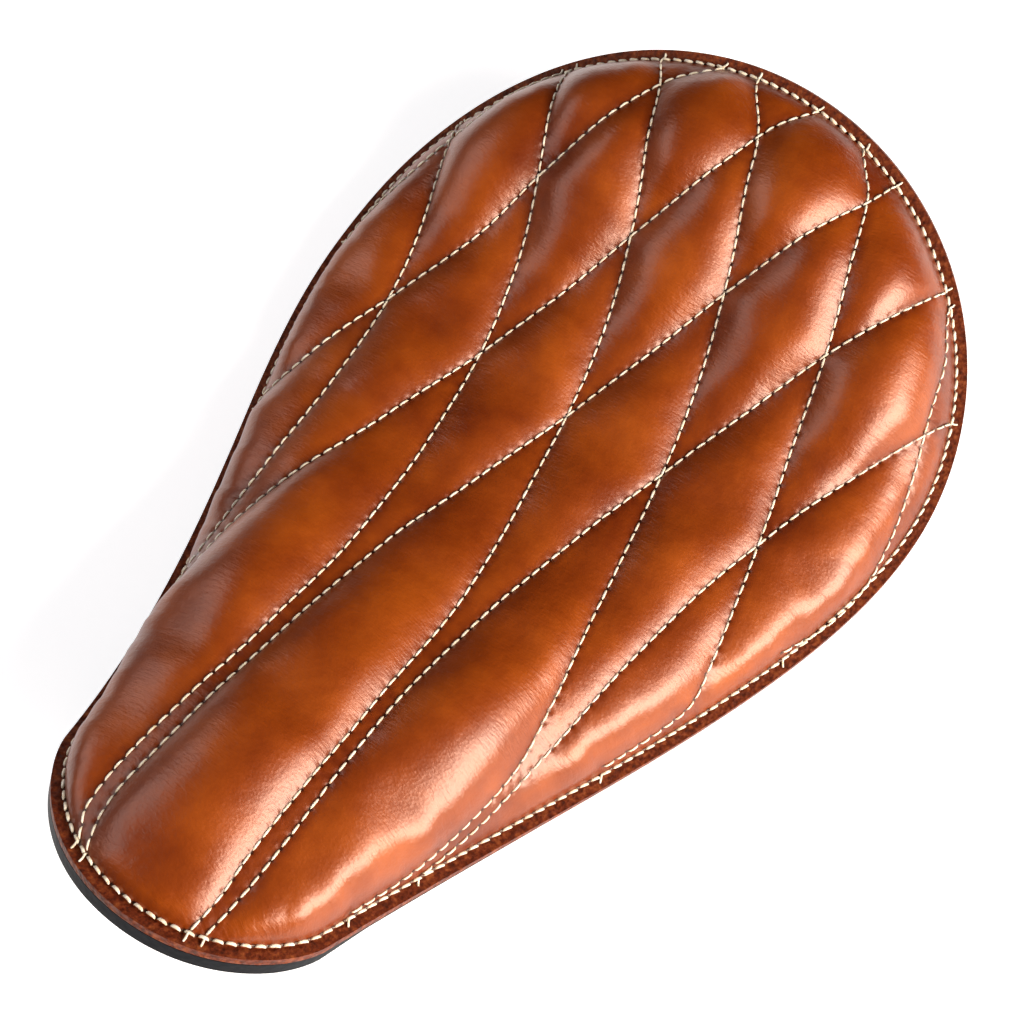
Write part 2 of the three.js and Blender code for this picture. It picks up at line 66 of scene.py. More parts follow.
camera_data = bpy.data.cameras.new("camera")
camera_data.lens = LENS_MM
camera_data.sensor_width = 36.0
camera_data.clip_start = 0.01
camera = bpy.data.objects.new("camera", camera_data)
camera.matrix_world = looking(EYE, AIM, CAMERA_UP)
bpy.context.scene.collection.objects.link(camera)
bpy.context.scene.camera = camera

# ---------------------------------------------------------------- the pan's curve, in millimetres

FLAT_AHEAD = 40.0
FLAT_BEHIND = 35.0
NOSE_BEND_RADIUS = 292.0
REAR_BEND_RADIUS = 196.0
PAN_THICKNESS = 4.5
RIM_WIDTH = 4.0
RIM_BOTTOM = 0.3
RIM_TOP = 2.8


def pan_tilt(along):
    """The pan's tilt in radians at a distance along its upper face."""
    if along > FLAT_BEHIND:
        return (along - FLAT_BEHIND) / REAR_BEND_RADIUS
    if along < -FLAT_AHEAD:
        return (along + FLAT_AHEAD) / NOSE_BEND_RADIUS
    return 0.0


def beside_pan(along, height):
    """(y, z) over the pan at a distance along it and a height square to it, before it is centred."""
    tilt = pan_tilt(along)
    y, z = along, 0.0
    if along > FLAT_BEHIND:
        y = FLAT_BEHIND + REAR_BEND_RADIUS * math.sin(tilt)
        z = REAR_BEND_RADIUS * (1 - math.cos(tilt))
    if along < -FLAT_AHEAD:
        y = -FLAT_AHEAD + NOSE_BEND_RADIUS * math.sin(tilt)
        z = NOSE_BEND_RADIUS * (1 - math.cos(tilt))
    return y - height * math.sin(tilt), z + height * math.cos(tilt)


# ---------------------------------------------------------------- the stitched outline

REAR_RADIUS = 121.0
REAR_CENTRE = 56.5
NOSE_TIP = -216.8
SIDE_CURVE = ((121, 56.5), (121, -15), (76, -81), (52, -183))
NOSE_CURVE = ((52, -183), (49.8, -192.8), (32.2, -216.8), (0, NOSE_TIP))

NOSE_EDGE = beside_pan(NOSE_TIP - RIM_WIDTH, -PAN_THICKNESS)[0]
REAR_EDGE = beside_pan(REAR_CENTRE + REAR_RADIUS + RIM_WIDTH, -PAN_THICKNESS)[0]
MIDDLE_Y = (NOSE_EDGE + REAR_EDGE) / 2


def over_pan(x, along, height):
    """The point in metres over the pan at x, a distance along it and a height square to it."""
    y, z = beside_pan(along, height)
    return Vector((x, y - MIDDLE_Y, z + PAN_THICKNESS)) * MM


def bezier(curve, t):
    a, b, c, d = (np.array(p, float) for p in curve)
    u = 1 - t
    return a * u ** 3 + 3 * b * u * u * t + 3 * c * u * t * t + d * t ** 3


def even_points(points, spacing, closed=False):
    """A line of points spaced evenly, at about the given spacing."""
    points = np.array(points, float)
    if closed:
        points = np.vstack([points, points[:1]])
    steps = np.hypot(*np.diff(points, axis=0).T)
    run = np.concatenate([[0], np.cumsum(steps)])
    count = max(int(round(run[-1] / spacing)), 1)
    places = np.linspace(0, run[-1], count + 1)
    if closed:
        places = places[:-1]
    return np.column_stack([np.interp(places, run, points[:, 0]), np.interp(places, run, points[:, 1])])


def right_half():
    """The right half of the stitch line, from the rear to the nose."""
    arc = [(REAR_RADIUS * math.sin(a), REAR_CENTRE + REAR_RADIUS * math.cos(a))
           for a in np.linspace(0, math.pi / 2, 90)]
    side = [bezier(SIDE_CURVE, t) for t in np.linspace(0, 1, 120)[1:]]
    nose = [bezier(NOSE_CURVE, t) for t in np.linspace(0, 1, 60)[1:]]
    return np.array(arc + side + nose)


HALF = right_half()
LOOP = np.vstack([HALF, (HALF * [-1, 1])[-2:0:-1]])


def outline(offset, spacing):
    """The stitch line moved outwards, clockwise seen from above; the offset may be a function of along."""
    ahead, behind = np.roll(LOOP, -1, axis=0), np.roll(LOOP, 1, axis=0)
    run = ahead - behind
    run /= np.hypot(*run.T)[:, None]
    width = offset(LOOP[:, 1])[:, None] if callable(offset) else offset
    return even_points(LOOP + np.column_stack([-run[:, 1], run[:, 0]]) * width, spacing, closed=True)


EDGE_RUN = np.roll(LOOP, -1, axis=0) - LOOP
EDGE_LENGTH2 = (EDGE_RUN ** 2).sum(axis=1)
PLACES_AT_ONCE = 2000


def distance_in(places):
    """How far each place is in from the stitch line; negative outside it."""
    places = np.atleast_2d(np.array(places, float))
    result = np.empty(len(places))
    for start in range(0, len(places), PLACES_AT_ONCE):
        part = places[start:start + PLACES_AT_ONCE, None, :]
        share = np.clip(((part - LOOP) * EDGE_RUN).sum(axis=2) / EDGE_LENGTH2, 0, 1)
        away = part - (LOOP + share[..., None] * EDGE_RUN)
        gap = np.hypot(away[..., 0], away[..., 1])
        nearest = gap.argmin(axis=1)
        rows = np.arange(len(nearest))
        near = away[rows, nearest]
        run = EDGE_RUN[nearest]
        outside = run[:, 1] * near[:, 0] - run[:, 0] * near[:, 1] < 0
        result[start:start + PLACES_AT_ONCE] = np.where(outside, -1, 1) * gap[rows, nearest]
    return result


# ---------------------------------------------------------------- the pad's height over the pan

PADDING_ALONG = (-217, -190, -150, -110, -60, -20, 20, 60, 100, 135, 178)
PADDING_HEIGHT = (15, 25.5, 34.5, 37.5, 33, 26, 21, 23, 29, 33.5, 27)
SHOULDER_WIDTH = 47.5
SHOULDER_FALL = 2.3
SHOULDER_RISE = 0.6
COVER_BOTTOM = 3.1
COVER_EDGE_TOP = 4.4
EDGE_SINK = 2.4


def padding(along):
    """Height of the padding along the seat: full at the nose, thin where the rider sits, full at the rear."""
    knots, heights = np.array(PADDING_ALONG, float), np.array(PADDING_HEIGHT, float)
    along = np.clip(along, knots[0], knots[-1])
    k = np.clip(np.searchsorted(knots, along, side="right") - 1, 0, len(knots) - 2)
    share = (along - knots[k]) / (knots[k + 1] - knots[k])
    eased = (share + share * share * (3 - 2 * share)) / 2
    return heights[k] + (heights[k + 1] - heights[k]) * eased


def shoulder(distance):
    """The pad's rounded shoulder: 0 at its edge, rising steeply to 1."""
    share = np.clip(distance / SHOULDER_WIDTH, 0, 1)
    return (1 - (1 - share) ** SHOULDER_FALL) ** SHOULDER_RISE


def pad_top(along, distance):
    return COVER_EDGE_TOP + (padding(along) - EDGE_SINK) * shoulder(distance)


# ---------------------------------------------------------------- the sewn lines

# The quilting that leans to the left, as (x, along) from nose to rear. The lines that lean to the right
# mirror it, except where they run out at the edge: those ends are given one by one.
QUILT_LINES = (
    ((-70, -98), (-71.5, -78), (-74, -40), (-79, 0), (-88.5, 40), (-102, 80), (-112, 106)),
    ((-28.7, -180), (-25.3, -120), (-27, -60), (-36, 0), (-51.5, 60), (-65, 100), (-82, 140), (-88, 152)),
    ((22.4, -180), (20, -120), (16.5, -60), (4.5, 0), (-10, 60), (-22, 100), (-36.5, 140)),
    ((66, -96), (63.5, -80), (59.7, -60), (46, 0), (31, 60), (19.5, 100), (6.5, 140)),
    ((94.6, -25), (88.5, 0), (83, 20), (72, 60), (63, 100), (51.5, 140)),
    ((118.8, 47), (116, 62), (111, 80.5), (105, 99), (98.5, 120.5), (91.5, 133), (84, 146)),
)
# (line, whether it is the mirrored one): the points it starts with at the nose, then those at the rear.
NOSE_ENDS = {
    (0, False): ((-69.5, -130), (-69.6, -113)),
    (0, True): ((61.5, -148), (65, -133.5), (67.6, -120), (69.2, -107)),
    (1, False): ((-19, -216), (-24.5, -210), (-28.4, -202)),
    (1, True): ((27, -214), (28.8, -200)),
    (2, False): ((22.6, -216), (24, -203)),
    (2, True): ((-15, -217), (-19.5, -211.5), (-23, -200)),
    (3, False): ((54.4, -172), (57.2, -161), (60, -150), (62.9, -136), (65, -122), (66.3, -109)),
    (3, True): ((-66.6, -134), (-66.2, -112)),
    (4, False): ((85.6, -76), (89.8, -64), (93.8, -52), (96.8, -39)),
    (4, True): ((-103, -45), (-97.5, -35)),
    (5, False): ((110.6, -4), (118, 18), (119.8, 34)),
    (5, True): ((-121.5, 25), (-119.6, 38)),
}
REAR_ENDS = {
    (2, False): ((-46, 158), (-57, 167)),
    (2, True): ((45, 159), (48.5, 170)),
    (3, False): ((-2, 160), (-18.5, 178)),
    (3, True): ((-1, 159.5), (2.5, 168), (10.5, 179)),
    (4, False): ((44, 159), (37.5, 167), (29, 175)),
    (4, True): ((-44, 159), (-37.5, 167), (-29, 175)),
}


FINE_STEP = 0.5
CURVE_STEPS = 12


def smooth_line(points):
    """A rounded line through the points."""
    points = [np.array(p, float) for p in points]
    ends = [2 * points[0] - points[1], *points, 2 * points[-1] - points[-2]]
    line = []
    for a, b, c, d in zip(ends, ends[1:], ends[2:], ends[3:]):
        for t in np.arange(CURVE_STEPS) / CURVE_STEPS:
            line.append(0.5 * (2 * b + (c - a) * t + (2 * a - 5 * b + 4 * c - d) * t * t
                               + (3 * b - a - 3 * c + d) * t ** 3))
    return np.array(line + [points[-1]])


def inside_part(line):
    """The part of a line that lies inside the stitch line, with its ends on it."""
    fine = even_points(line, FINE_STEP)
    inside = distance_in(fine) > 0
    first, last = inside.argmax(), len(inside) - 1 - inside[::-1].argmax()
    return fine[first:last + 1]


def all_seams():
    seams = []
    for mirrored in (False, True):
        for number, middle in enumerate(QUILT_LINES):
            key = (number, mirrored)
            middle = [(-x, s) for x, s in middle] if mirrored else middle
            points = [*NOSE_ENDS.get(key, ()), *middle, *REAR_ENDS.get(key, ())]
            seams.append(inside_part(smooth_line(points)))
    return seams


SEAMS = all_seams()

SEAM_DROP = 2.2
SEAM_DROP_RUN = 12.0


def seam_drop(distance):
    """How far a sewn line is pulled down into the padding, which is nothing where it runs out at the edge."""
    return SEAM_DROP * np.clip(distance / SEAM_DROP_RUN, 0, 1)


def seam_height(along, distance):
    return pad_top(along, distance) - seam_drop(distance)


# ---------------------------------------------------------------- small helpers for meshes

def deselect_all():
    if bpy.context.object and bpy.context.object.mode != "OBJECT":
        bpy.ops.object.mode_set(mode="OBJECT")
    bpy.ops.object.select_all(action="DESELECT")


def make_active(obj):
    deselect_all()
    obj.select_set(True)
    bpy.context.view_layer.objects.active = obj


def mesh_piece(name, points, faces):
    mesh = bpy.data.meshes.new(name)
    mesh.from_pydata([tuple(p) for p in points], [], faces)
    mesh.validate()
    obj = bpy.data.objects.new(name, mesh)
    bpy.context.scene.collection.objects.link(obj)
    mesh.shade_smooth()
    return obj


def apply_all(obj):
    make_active(obj)
    for modifier in list(obj.modifiers):
        bpy.ops.object.modifier_apply(modifier=modifier.name)


# ---------------------------------------------------------------- the quilted top

SHEET_SPACING = 3.4
LAP = 0.6
EDGE_RINGS = (0.7, 1.9, 3.8)
CLEAR_OF_RINGS = 2.2
CLEAR_OF_SEAM = 2.0
# The ground that every grid covers, which is a little more than the outline.
GRID_X = (-124, 124)
GRID_ALONG = (-218, 180)
SAME_PLACE = 0.02


def tree_of(points):
    tree = kdtree.KDTree(len(points))
    for index, (x, s) in enumerate(points):
        tree.insert((x, s, 0), index)
    tree.balance()
    return tree


def distances(tree, places):
    return np.array([tree.find((x, s, 0))[2] for x, s in places])


def sheet_plan():
    """The quilted top laid flat, as points, triangles and the edges that lie on sewn lines."""
    loop = outline(LAP, SHEET_SPACING)
    rings = [outline(-ring, SHEET_SPACING) for ring in EDGE_RINGS]
    stitch_ring = outline(0, SHEET_SPACING)
    lines = [even_points(seam, SHEET_SPACING) for seam in SEAMS]
    row_height = SHEET_SPACING * math.sqrt(3) / 2
    grid = []
    for row, s in enumerate(np.arange(*GRID_ALONG, row_height)):
        shift = (row % 2) * SHEET_SPACING / 2
        grid += [(x + shift, s) for x in np.arange(*GRID_X, SHEET_SPACING)]
    grid = np.array(grid)
    grid = grid[distance_in(grid) > EDGE_RINGS[-1] + CLEAR_OF_RINGS]
    kept = np.vstack([*rings, grid])
    kept = kept[distances(tree_of(np.vstack(lines)), kept) > CLEAR_OF_SEAM]
    points, edges = [], []

    def add_chain(chain, closed):
        first = len(points)
        points.extend(chain)
        edges.extend((first + k, first + k + 1) for k in range(len(chain) - 1))
        if closed:
            edges.append((first + len(chain) - 1, first))

    add_chain(loop, True)
    loop_edges = len(edges)
    add_chain(stitch_ring, True)
    for line in lines:
        add_chain(line, False)
    points.extend(kept)
    result = geometry.delaunay_2d_cdt([Vector(p) for p in points], edges, [], 1, SAME_PLACE)
    flat = np.array([tuple(p) for p in result[0]])
    sewn = set()
    for edge, origins in zip(result[1], result[4]):
        if any(k >= loop_edges for k in origins):
            sewn.add(tuple(sorted(edge)))
    return flat, [tuple(face) for face in result[2]], sewn


# The cloth simulation, in metres, kilograms and frames.
PRESSURE = 4.0
SPARE_CLOTH = -0.012
CLOTH_FRAMES = 20
SWELL_LIMIT = 0.006
# Fullness of the quilting along the seat: deep at the rear, shallow where the rider sits.
FULLNESS_ALONG = (-217, -120, -50, 10, 70, 140, 178)
FULLNESS = (5.0, 6.4, 5.6, 5.6, 8.0, 8.8, 7.4)
USUAL_CELL = 38.0
FULLNESS_ROUNDS = 700
FULLNESS_POWER = 0.74
# How far the pad's wall leans out over its stitches.
BULGE_ALONG = (-217, -190, -120, -60, 20, 80, 178)
BULGE = (1.5, 4.6, 5.4, 3.8, 1.8, 1.6, 1.2)
BULGE_AT = 3.0
BULGE_WIDTH = 8.0
BULGE_CLEAR_OF_LINE = 5.0
HELD_EDGE = 0.35
LAP_SINK = 0.2
EVEN_ROUNDS = 6


def mesh_links(faces, count):
    """The mesh's edges both ways, as two arrays of point numbers."""
    pairs = {(a, b) for face in faces for a, b in zip(face, face[1:] + face[:1])}
    pairs |= {(b, a) for a, b in pairs}
    links = np.array(sorted(pairs))
    return links[:, 0], links[:, 1]


def fullness(flat, faces, held):
    """How far a sheet held along its sewn lines rises under pressure: 1 in the middle of a usual cell."""
    count = len(flat)
    start, end = mesh_links(faces, count)
    weight = 1 / ((flat[start] - flat[end]) ** 2).sum(axis=1)
    total = np.bincount(start, weight, count)
    load = np.bincount(start, minlength=count) / 4
    free = np.ones(count, bool)
    free[held] = False
    rise = np.zeros(count)
    for _ in range(FULLNESS_ROUNDS):
        rise = np.where(free, (np.bincount(start, weight * rise[end], count) + load) / total, 0)
    return (rise / (USUAL_CELL ** 2 / 8)) ** FULLNESS_POWER


def even_out(places, faces, held):
    """Takes small crumples out of the sheet, and leaves the sewn lines where they are."""
    count = len(places)
    start, end = mesh_links(faces, count)
    neighbours = np.bincount(start, minlength=count)[:, None]
    free = np.ones((count, 1), bool)
    free[held] = False
    for _ in range(EVEN_ROUNDS):
        total = np.column_stack([np.bincount(start, places[end, axis], count) for axis in range(3)])
        places = np.where(free, places + 0.5 * (total / neighbours - places), places)
    return places


def points_of(obj, what="co"):
    """The places of an object's points, or their normals."""
    values = np.empty(len(obj.data.vertices) * 3)
    obj.data.vertices.foreach_get(what, values)
    return values.reshape(-1, 3)


def move_points(obj, places):
    obj.data.vertices.foreach_set("co", np.ascontiguousarray(places).ravel())
    obj.data.update()


def mark_points(mesh, name, values):
    """Keeps a number for each point, which the finish reads."""
    layer = mesh.attributes.new(name, "FLOAT", "POINT")
    layer.data.foreach_set("value", np.ascontiguousarray(values, dtype=np.float32))


def swell(obj, held):
    """Blows the sheet up between its sewn lines as cloth with a little to spare, and keeps the result."""
    group = obj.vertex_groups.new(name="sewn")
    group.add(held, 1.0, "REPLACE")
    start = points_of(obj)
    cloth = obj.modifiers.new("cloth", "CLOTH")
    settings = cloth.settings
    settings.quality = 6
    settings.mass = 0.3
    settings.tension_stiffness = 15
    settings.compression_stiffness = 15
    settings.shear_stiffness = 6
    settings.bending_stiffness = 4.0
    settings.air_damping = 1
    settings.use_pressure = True
    settings.uniform_pressure_force = PRESSURE
    settings.shrink_min = SPARE_CLOTH
    settings.vertex_group_mass = "sewn"
    settings.effector_weights.gravity = 0
    cloth.collision_settings.use_collision = False
    cloth.collision_settings.use_self_collision = False
    cloth.point_cache.frame_start = 1
    cloth.point_cache.frame_end = CLOTH_FRAMES
    scene = bpy.context.scene
    for number in range(1, CLOTH_FRAMES + 1):
        scene.frame_set(number)
    shape = obj.evaluated_get(bpy.context.evaluated_depsgraph_get())
    moved = points_of(shape)
    obj.modifiers.remove(cloth)
    scene.frame_set(1)
    step = moved - start
    size = np.linalg.norm(step, axis=1)
    step *= (np.minimum(size, SWELL_LIMIT) / np.maximum(size, 1e-9))[:, None]
    move_points(obj, start + step)
    obj.vertex_groups.remove(group)


def quilted_top():
    flat, faces, sewn = sheet_plan()
    depth = distance_in(flat)
    heights = seam_height(flat[:, 1], np.maximum(depth, 0))
    heights[depth < -LAP / 2] = COVER_EDGE_TOP - LAP_SINK
    points = [over_pan(x, s, h) for (x, s), h in zip(flat, heights)]
    obj = mesh_piece("quilted_top", points, faces)
    line_points = np.vstack([even_points(seam, 1.0) for seam in SEAMS])
    near_line = distances(tree_of(line_points), flat)
    near_seam = distances(tree_of(np.vstack([line_points, outline(0, 1.0)])), flat)
    on_seam = {k for edge in sewn for k in edge}
    held = sorted(on_seam | {k for k in range(len(flat)) if depth[k] < HELD_EDGE})
    normals = points_of(obj, "normal")
    if normals[:, 2].mean() < 0:
        obj.data.flip_normals()
        normals = -normals
    rise = fullness(flat, faces, held) * np.interp(flat[:, 1], FULLNESS_ALONG, FULLNESS)
    wall = np.exp(-(np.maximum(depth - BULGE_AT, 0) / BULGE_WIDTH) ** 2)
    wall *= np.clip(depth / BULGE_AT, 0, 1) * np.clip(near_line / BULGE_CLEAR_OF_LINE, 0, 1)
    rise += wall * np.interp(flat[:, 1], BULGE_ALONG, BULGE)
    move_points(obj, points_of(obj) + normals * rise[:, None] * MM)
    swell(obj, held)
    move_points(obj, even_out(points_of(obj), faces, held))
    return obj, flat, sewn, near_seam


SEAM_SHARPNESS = 0.8
RIM_TURN_IN = 2.6
NOSE_CENTRE = -150


def turn_rim_in(work):
    """Adds a strip of faces to the sheet's border, and gives the strip's new points."""
    rim = [edge for edge in work.edges if edge.is_boundary]
    grown = bmesh.ops.extrude_edge_only(work, edges=rim)["geom"]
    return [item for item in grown if isinstance(item, bmesh.types.BMVert)]


def finish_top(obj, flat, sewn, near_seam):
    """Turns the edge down to the dark leather, sharpens the sewn lines and refines the sheet."""
    mesh = obj.data
    for name, values in (("near_seam", near_seam), ("across", flat[:, 0]), ("along", flat[:, 1])):
        mark_points(mesh, name, values)
    work = bmesh.new()
    work.from_mesh(mesh)
    work.verts.ensure_lookup_table()
    crease = work.edges.layers.float.new("crease_edge")
    for edge in work.edges:
        if tuple(sorted((edge.verts[0].index, edge.verts[1].index))) in sewn:
            edge[crease] = SEAM_SHARPNESS
    along_layer = work.verts.layers.float["along"]
    across_layer = work.verts.layers.float["across"]
    for vertex in turn_rim_in(work):
        vertex.co = over_pan(vertex[across_layer], vertex[along_layer], COVER_BOTTOM)
    for vertex in turn_rim_in(work):
        place = np.array((vertex[across_layer], vertex[along_layer]))
        outward = place - np.array((0, np.clip(place[1], NOSE_CENTRE, REAR_CENTRE)))
        place = place - outward / np.hypot(*outward) * RIM_TURN_IN
        vertex[across_layer], vertex[along_layer] = place
        vertex.co = over_pan(place[0], place[1], COVER_BOTTOM)
    bmesh.ops.recalc_face_normals(work, faces=work.faces)
    work.to_mesh(mesh)
    work.free()
    refine = obj.modifiers.new("refine", "SUBSURF")
    refine.levels = refine.render_levels = 2
    apply_all(obj)
    mesh.shade_smooth()
    return obj


CROSS_WRINKLES = 0.1
LUMPS = 0.12
LUMP_SIZE = 15
# Where the rider sits and wrinkles the leather most.
SEAT_MIDDLE = 15
SEAT_LENGTH = 75
SMOOTH_BY_SEAM = 0.6
SMOOTH_FADE = 5


def wrinkle(obj):
    """Small creases across the seat where the leather is pressed, and a slight unevenness all over."""
    mesh = obj.data
    count = len(mesh.vertices)
    marks = np.empty((3, count), np.float32)
    for row, name in zip(marks, ("near_seam", "along", "across")):
        mesh.attributes[name].data.foreach_get("value", row)
    lift = np.zeros(count)
    for k, (near, along, across) in enumerate(marks.T):
        if near < SMOOTH_BY_SEAM:
            continue
        x, s = float(across), float(along)
        rows = noise.noise((x / 26, s / 5.2, 3.1)) + 0.5 * noise.noise((x / 14, s / 2.9, 7.7))
        pressed = math.exp(-((s - SEAT_MIDDLE) / SEAT_LENGTH) ** 2) * 0.8 + 0.2
        lumps = noise.noise((x / LUMP_SIZE, s / LUMP_SIZE, 11.0))
        fade = min((near - SMOOTH_BY_SEAM) / SMOOTH_FADE, 1)
        lift[k] = (CROSS_WRINKLES * rows * pressed + LUMPS * lumps) * fade
    move_points(obj, points_of(obj) + points_of(obj, "normal") * lift[:, None] * MM)


LINING_SPACING = 6.0
LINING_INSET = 2.0
LINING_CLEAR_OF_RIM = 2.0
LINING_SINK = 0.3
LINING_SAME_PLACE = 0.001


def line_underside(obj):
    """Closes the cover with the leather's inner face, which stays clear of the foam."""
    work = bmesh.new()
    work.from_mesh(obj.data)
    along_layer = work.verts.layers.float["along"]
    across_layer = work.verts.layers.float["across"]
    rim = [edge for edge in work.edges if edge.is_boundary]
    border = list({vertex for edge in rim for vertex in edge.verts})
    number = {vertex: index for index, vertex in enumerate(border)}
    flat = [Vector((vertex[across_layer], vertex[along_layer])) for vertex in border]
    grid = np.array([(x, s) for s in np.arange(-216, 178, LINING_SPACING)
                     for x in np.arange(-122, 122, LINING_SPACING)])
    depth = distance_in(grid)
    inner = depth > LINING_INSET + LINING_CLEAR_OF_RIM
    depth = depth[inner] - LINING_INSET
    rise = (padding(grid[inner, 1]) - EDGE_SINK) * shoulder(depth)
    heights = COVER_BOTTOM + rise - seam_drop(depth) - LINING_SINK
    lining = list(border)
    for (x, s), height in zip(grid[inner], heights):
        vertex = work.verts.new(over_pan(x, s, height))
        vertex[across_layer], vertex[along_layer] = x, s
        lining.append(vertex)
        flat.append(Vector((x, s)))
    edges = [(number[edge.verts[0]], number[edge.verts[1]]) for edge in rim]
    result = geometry.delaunay_2d_cdt(flat, edges, [], 1, LINING_SAME_PLACE)
    for face in result[2]:
        corners = [lining[result[3][k][0]] for k in face]
        work.faces.new(corners).smooth = True
    bmesh.ops.recalc_face_normals(work, faces=work.faces)
    work.to_mesh(obj.data)
    work.free()


top, top_flat, top_sewn, top_near = quilted_top()
finish_top(top, top_flat, top_sewn, top_near)
wrinkle(top)
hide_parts("quilted_cover")
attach(top, "seat")

# ---------------------------------------------------------------- the foam under it


FOAM_SPACING = 5.0
FOAM_LEAST = 0.1
HEAD_ROOM = 2.4
HEAD_MARGIN = 6.0
HEAD_FADE = 4.0
HEAD_NAMES = ("tee_nut", "hinge_bolt", "perch_bolt")
HEADS = [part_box(name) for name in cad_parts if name.startswith(HEAD_NAMES)]


def pushed_up(place):
    """How far the nuts and bolt heads under it push the foam up, in millimetres."""
    lift = 0.0
    for low, high in HEADS:
        away = math.hypot(place.x - (low[0] + high[0]) / 2, place.y - (low[1] + high[1]) / 2) / MM
        radius = (high[0] - low[0]) / 2 / MM
        lift = max(lift, HEAD_ROOM * min(max((radius + HEAD_MARGIN - away) / HEAD_FADE, 0), 1))
    return lift


def foam_layer(name, inset, upper, lower):
    """A closed foam layer between two heights over the pan, which the leather covers all round."""
    ring = outline(-inset, FOAM_SPACING)
    rows = np.arange(*GRID_ALONG, FOAM_SPACING)
    grid = np.array([(x, s) for s in rows for x in np.arange(*GRID_X, FOAM_SPACING)])
    grid = grid[distance_in(grid) > inset + FOAM_SPACING * 0.6]
    points = [Vector(p) for p in ring] + [Vector(p) for p in grid]
    edges = [(k, (k + 1) % len(ring)) for k in range(len(ring))]
    result = geometry.delaunay_2d_cdt(points, edges, [], 1, SAME_PLACE)
    flat = np.array([tuple(p) for p in result[0]])
    faces = [tuple(face) for face in result[2]]
    depth = np.maximum(distance_in(flat) - inset, 0)
    count = len(flat)
    lift = np.array([pushed_up(over_pan(x, s, COVER_BOTTOM)) for x, s in flat])
    below = lower(flat[:, 1], depth) + lift
    above = np.maximum(upper(flat[:, 1], depth), below + FOAM_LEAST)
    places = [over_pan(x, s, h) for (x, s), h in zip(flat, above)]
    places += [over_pan(x, s, h) for (x, s), h in zip(flat, below)]
    used = {(a, b) for face in faces for a, b in zip(face, face[1:] + face[:1])}
    border = [(a, b) for a, b in used if (b, a) not in used]
    shell = faces + [tuple(k + count for k in reversed(face)) for face in faces]
    shell += [(b, a, a + count, b + count) for a, b in border]
    obj = mesh_piece(name, places, shell)
    work = bmesh.new()
    work.from_mesh(obj.data)
    bmesh.ops.recalc_face_normals(work, faces=work.faces)
    work.to_mesh(obj.data)
    work.free()
    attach(obj, "seat")
    return obj


QUILT_FOAM = 9.0
QUILT_FOAM_INSET = 6
CORE_INSET = 15
# How far the foam stays under the leather, and how far the core stays under the quilting foam.
UNDER_LEATHER = 7.0
UNDER_QUILT_FOAM = 0.6
CORE_SHARE = 0.9


def foam_rise(along, depth):
    return np.maximum((padding(along) - EDGE_SINK) * shoulder(depth) - UNDER_LEATHER, 0)


quilt_foam = foam_layer(
    "quilting_foam", QUILT_FOAM_INSET,
    lambda s, d: COVER_BOTTOM + 0.9 + foam_rise(s, d),
    lambda s, d: COVER_BOTTOM + 0.4 + np.maximum(foam_rise(s, d) - QUILT_FOAM, 0))
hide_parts("quilt_foam")
core = foam_layer(
    "shaped_core", CORE_INSET,
    lambda s, d: (COVER_BOTTOM + 0.2
                  + np.maximum(foam_rise(s, d) - QUILT_FOAM - UNDER_QUILT_FOAM, 0) * CORE_SHARE),
    lambda s, d: np.full(len(s), COVER_BOTTOM))
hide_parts("foam_core")

# ---------------------------------------------------------------- the pan and the dark leather edge

ROW_SPACING = 6.0
RING_SPACING = 2.4


def sheet_on_pan(name, offset, bottom, height, top_round, bottom_round):
    """A flat sheet cut to the outline, with rounded edges, then laid on the pan's curve."""
    ring = outline(offset, RING_SPACING)
    deselect_all()
    bpy.ops.mesh.primitive_circle_add(vertices=len(ring), radius=1.0, fill_type="NGON")
    obj = bpy.context.object
    obj.name = obj.data.name = name
    for vertex, (x, s) in zip(obj.data.vertices, ring):
        vertex.co = (x, s, bottom)
    bpy.ops.object.mode_set(mode="EDIT")
    for s in np.arange(ring[:, 1].min() + 3, ring[:, 1].max() - 2, ROW_SPACING):
        bpy.ops.mesh.select_all(action="SELECT")
        bpy.ops.mesh.bisect(plane_co=(0, float(s), bottom), plane_no=(0, 1, 0))
    bpy.ops.mesh.select_all(action="SELECT")
    bpy.ops.mesh.normals_make_consistent(inside=False)
    bpy.ops.mesh.extrude_region_move(TRANSFORM_OT_translate={"value": (0, 0, height)})
    for level, size in ((bottom + height, top_round), (bottom, bottom_round)):
        work = bmesh.from_edit_mesh(obj.data)
        for part in (work.verts, work.edges, work.faces):
            for item in part:
                item.select = False
        for edge in work.edges:
            upright = [abs(face.normal.z) < 0.5 for face in edge.link_faces]
            at_level = all(abs(v.co.z - level) < 0.01 for v in edge.verts)
            edge.select = at_level and len(upright) == 2 and upright[0] != upright[1]
        work.select_flush_mode()
        bmesh.update_edit_mesh(obj.data)
        bpy.ops.mesh.bevel(offset=size, offset_type="OFFSET", segments=3, affect="EDGES")
    bpy.ops.mesh.select_all(action="SELECT")
    bpy.ops.mesh.normals_make_consistent(inside=False)
    bpy.ops.object.mode_set(mode="OBJECT")
    for vertex in obj.data.vertices:
        vertex.co = over_pan(*vertex.co)
    obj.data.shade_smooth()
    bpy.ops.object.shade_smooth_by_angle(angle=math.radians(35))
    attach(obj, "seat")
    return obj


PAN_INSET = 1.4


def pan_width(along):
    """The pan is flush with the leather at the nose, and a little smaller than it elsewhere."""
    return RIM_WIDTH - PAN_INSET * np.clip((along + 196) / 30, 0, 1)


